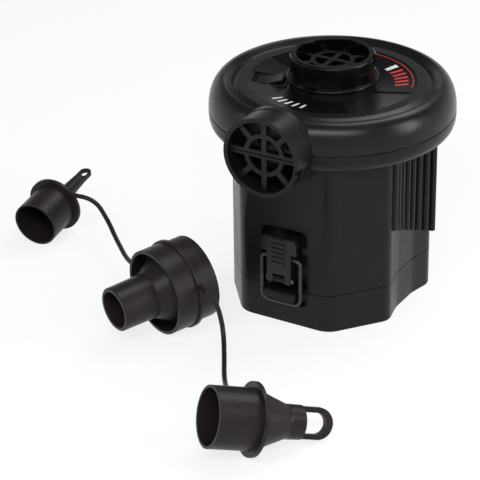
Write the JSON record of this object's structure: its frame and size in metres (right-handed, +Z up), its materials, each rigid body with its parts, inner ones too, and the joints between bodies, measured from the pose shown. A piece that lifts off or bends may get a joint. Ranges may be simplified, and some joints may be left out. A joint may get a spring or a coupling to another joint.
{
  "type": "electric air pump",
  "caption": "Battery electric air pump with a round rim, inlet tube on top, side outlet, toggle-latched base cover and a tethered set of nozzles, for air mattresses.",
  "frame": {"origin": "centre of the base face that the pump stands on", "axes": "+Z up along the inlet tube, -Y forward along the outlet tube, +X to the right seen from the back"},
  "size_m": [0.2583, 0.2605, 0.134],
  "materials": {
    "shell": "satin black",
    "gloss": "gloss black",
    "label": "gloss film",
    "nozzle": "soft satin black",
    "inner": "matte",
    "fan": "matte",
    "steel": "bright",
    "brass": "bright",
    "magnet": "dull",
    "cell": "wrapped",
    "wire": "matte"
  },
  "bodies": {
    "pump": {"top_cover": "shell", "lower_housing": "shell", "inlet_spigot": "gloss", "label_inlay": "label", "switch_frame": "gloss", "fan_plate": "inner", "motor_can": "steel", "motor_magnets": "magnet", "motor_end_cap": "fan", "motor_bush": "brass", "motor_terminals": "brass", "motor_screws": "steel", "battery_holder": "inner", "battery_cells": "cell", "holder_contacts": "brass", "holder_screws": "steel", "lead_wires": "wire", "housing_screws": "steel", "latch_pin": "steel"},
    "rotor": {"impeller": "fan", "motor_shaft": "steel", "motor_armature": "brass"},
    "rocker": {"switch_rocker": "gloss"},
    "cover": {"base_cover": "shell", "cover_contacts": "steel"},
    "lever": {"latch_lever": "shell"},
    "bail": {"latch_bail": "steel"},
    "nozzle_set": {"large_nozzle": "nozzle", "medium_nozzle": "nozzle", "small_nozzle": "nozzle", "tether_left": "nozzle", "tether_right": "nozzle"}
  },
  "joints": [
    {"name": "fan_spin", "type": "hinge", "parent": "pump", "child": "rotor", "pos_m": [0, 0, 0.1], "axis": [0, 0, 1], "continuous": true},
    {"name": "switch_rock", "type": "hinge", "parent": "pump", "child": "rocker", "pos_m": [-0.03063, -0.01115, 0.11554], "axis": [-0.342, 0.9397, 0], "range_deg": [0, 16]},
    {"name": "cover_hinge", "type": "hinge", "parent": "pump", "child": "cover", "pos_m": [0, 0.0517, 0.021], "axis": [1, 0, 0], "range_deg": [0, 12]},
    {"name": "lever_pivot", "type": "hinge", "parent": "pump", "child": "lever", "pos_m": [0, -0.056, 0.0276], "axis": [1, 0, 0], "range_deg": [0, 120]},
    {"name": "bail_pivot", "type": "hinge", "parent": "lever", "child": "bail", "pos_m": [0, -0.0552, 0.0397], "axis": [1, 0, 0], "range_deg": [-240, 0]},
    {"name": "nozzle_lift", "type": "slide", "parent": "pump", "child": "nozzle_set", "axis": [0, 0, 1], "range_m": [0, 0.05]}
  ],
  "couplings": [
    {"joint": "lever_pivot", "follows": "cover_hinge", "ratio": 10},
    {"joint": "bail_pivot", "follows": "cover_hinge", "ratio": -20}
  ]
}
